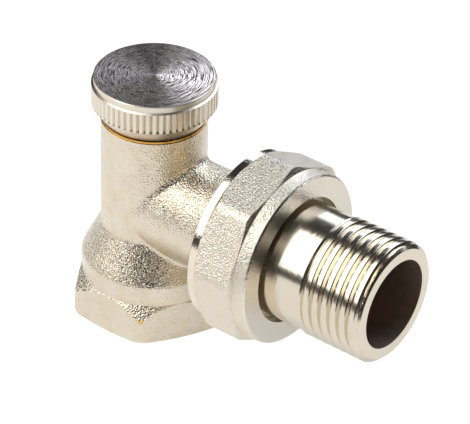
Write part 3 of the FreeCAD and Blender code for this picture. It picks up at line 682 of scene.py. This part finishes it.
def welded_copy(node, name):
    """Copy of a CAD node's mesh in which points at one place are joined."""
    work = bmesh.new()
    work.from_mesh(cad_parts[node].data)
    bmesh.ops.remove_doubles(work, verts=work.verts, dist=WELD)
    mesh = bpy.data.meshes.new(name)
    work.to_mesh(mesh)
    work.free()
    return mesh


def make_threaded(node, name, cutter, material):
    """Copy of a CAD node with a thread cut into it, shown in the node's place."""
    piece = add_object(name, welded_copy(node, name))
    cut = piece.modifiers.new("thread", "BOOLEAN")
    cut.operation = "DIFFERENCE"
    cut.solver = "EXACT"
    cut.object = cutter
    finished = piece.evaluated_get(bpy.context.evaluated_depsgraph_get())
    shape = bpy.data.meshes.new_from_object(finished)
    piece.modifiers.clear()
    piece.data = shape
    shape.materials.clear()
    shape.materials.append(material)
    if "custom_normal" in shape.attributes:
        shape.attributes.remove(shape.attributes["custom_normal"])
    shade_smooth(shape, FORGED_EDGE)
    bpy.data.objects.remove(cutter)
    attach(piece, "valve")
    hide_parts(node)


def dress_valve():
    """Gives every CAD node its finish, and adds the three pieces that carry cut threads."""
    blasted = make_blasted_nickel()
    brass = make_plain(BARE_BRASS)
    rubber = make_plain(SEAL_RUBBER)
    dress("valve_body", blasted)
    dress("union_nut", make_nut_nickel())
    dress_cap(make_plain(SATIN_NICKEL), make_spun_nickel())
    dress("disc_clip", make_plain(CLIP_STEEL))
    for node in BRASS_NODES:
        dress(node, brass)
    for node in RUBBER_NODES:
        dress(node, rubber)
    bright = make_bright_nickel()
    dress("tailpiece", bright)
    make_tailpiece(bright, make_plain(DULL_BORE))
    cap_cutter = helix_cutter(CAP_THREAD, round_spindle)
    make_threaded("bonnet", "threaded_bonnet", cap_cutter, brass)
    union_cutter = helix_cutter(UNION_THREAD, round_branch)
    make_threaded("valve_body", "threaded_body", union_cutter, blasted)


def direction(azimuth, elevation):
    """Unit vector by azimuth from -Y towards +X and elevation, in degrees."""
    across = math.radians(azimuth)
    height = math.radians(elevation)
    return Vector((
        math.sin(across) * math.cos(height),
        -math.cos(across) * math.cos(height),
        math.sin(height),
    ))


def add_panel(panel):
    """A soft rectangular lamp of an even radiance that faces the valve."""
    lamp = bpy.data.lights.new(panel.name, "AREA")
    lamp.shape = "RECTANGLE"
    lamp.size = panel.width
    lamp.size_y = panel.height
    lamp.energy = panel.radiance * math.pi * panel.width * panel.height
    lamp.color = panel.colour
    way = direction(panel.azimuth, panel.elevation)
    thing = add_object(panel.name, lamp)
    thing.location = VALVE_CENTRE + way * PANEL_DISTANCE
    thing.rotation_euler = way.to_track_quat("Z", "Y").to_euler()


def set_world():
    """A dim room round the table, and plain white behind the valve."""
    world = bpy.data.worlds.new("studio")
    bpy.context.scene.world = world
    world.use_nodes = True
    tree = world.node_tree
    tree.nodes.clear()
    way = tree.nodes.new("ShaderNodeTexCoord").outputs["Generated"]
    height = add_node(tree, "ShaderNodeSeparateXYZ", Vector=way).outputs["Z"]
    room = mix_colours(tree, step_between(tree, height, *ROOM_RISE), ROOM_HORIZON, ROOM_CEILING)
    dim = add_node(tree, "ShaderNodeBackground", Color=room, Strength=1.0)
    white = add_node(tree, "ShaderNodeBackground", Color=WHITE, Strength=1.0)
    seen = tree.nodes.new("ShaderNodeLightPath").outputs["Is Camera Ray"]
    mixed = mix_shaders(tree, seen, dim.outputs["Background"], white.outputs["Background"])
    add_node(tree, "ShaderNodeOutputWorld", Surface=mixed)


def make_floor_white():
    """Pale paper with a share of its own white, which leaves the valve's soft shadow to be seen, and
    with a painted shadow in mirror rays under and behind the tail.
    """
    material = bpy.data.materials.new("floor_white")
    material.use_nodes = True
    tree = material.node_tree
    tree.nodes.clear()
    matt = add_node(tree, "ShaderNodeBsdfDiffuse", Color=FLOOR_ALBEDO)
    white = add_node(tree, "ShaderNodeEmission", Color=WHITE, Strength=FLOOR_WHITE)
    path = tree.nodes.new("ShaderNodeLightPath").outputs
    seen = math_node(tree, "MULTIPLY", path["Is Camera Ray"], SHARE_SEEN)
    mirrored = math_node(tree, "MAXIMUM", path["Is Glossy Ray"], path["Is Transmission Ray"])
    # Painted shadow: in mirror rays the floor's white is weaker in a zone under and behind the tail,
    # where its shadow falls
    _, x, y, _ = object_place(tree)
    begun = step_between(tree, x, *SHADE_START)
    along = math_node(tree, "MULTIPLY", begun, step_between(tree, x, *SHADE_STOP))
    painted_shadow = math_node(tree, "MULTIPLY", along, step_between(tree, y, *SHADE_DEEP))
    mirror_share = spread(tree, painted_shadow, SHARE_MIRRORED, SHARE_PAINTED_SHADOW)
    share = math_node(tree, "MULTIPLY_ADD", mirrored, mirror_share, seen)
    mixed = mix_shaders(tree, share, matt.outputs["BSDF"], white.outputs["Emission"])
    add_node(tree, "ShaderNodeOutputMaterial", Surface=mixed)
    return material


def add_floor():
    """The sheet of paper that the valve stands on."""
    side = Vector((-FLOOR_HEADING.y, FLOOR_HEADING.x, 0.0))
    level = Vector((0.0, 0.0, FLOOR_LEVEL))
    near, far = FLOOR_REACH
    left, right = FLOOR_SIDES
    outline = ((near, left), (far, left), (far, right), (near, right))
    corners = [FLOOR_HEADING * reach + side * across + level for reach, across in outline]
    mesh = bpy.data.meshes.new("floor")
    mesh.from_pydata(corners, [], [(0, 1, 2, 3)])
    mesh.materials.append(make_floor_white())
    floor = add_object("floor", mesh)


def light_studio():
    """The lamps, the room and the floor, which also serves as a reflector."""
    for panel in PANELS:
        add_panel(panel)
    set_world()
    add_floor()


def add_camera():
    """The camera at the photograph's viewpoint."""
    data = bpy.data.cameras.new("camera")
    data.lens = CAMERA_LENS
    data.sensor_width = CAMERA_SENSOR
    data.clip_start = CAMERA_CLIP
    back = (CAMERA_PLACE - CAMERA_TARGET).normalized()
    right = Vector(UP).cross(back).normalized()
    up = back.cross(right)
    turn = Matrix((right, up, back)).transposed() @ Matrix.Rotation(CAMERA_ROLL, 3, "Z")
    camera = add_object("camera", data)
    camera.matrix_world = Matrix.Translation(CAMERA_PLACE) @ turn.to_4x4()
    bpy.context.scene.camera = camera


dress_valve()
light_studio()
add_camera()
bpy.context.scene.view_settings.view_transform = "Standard"
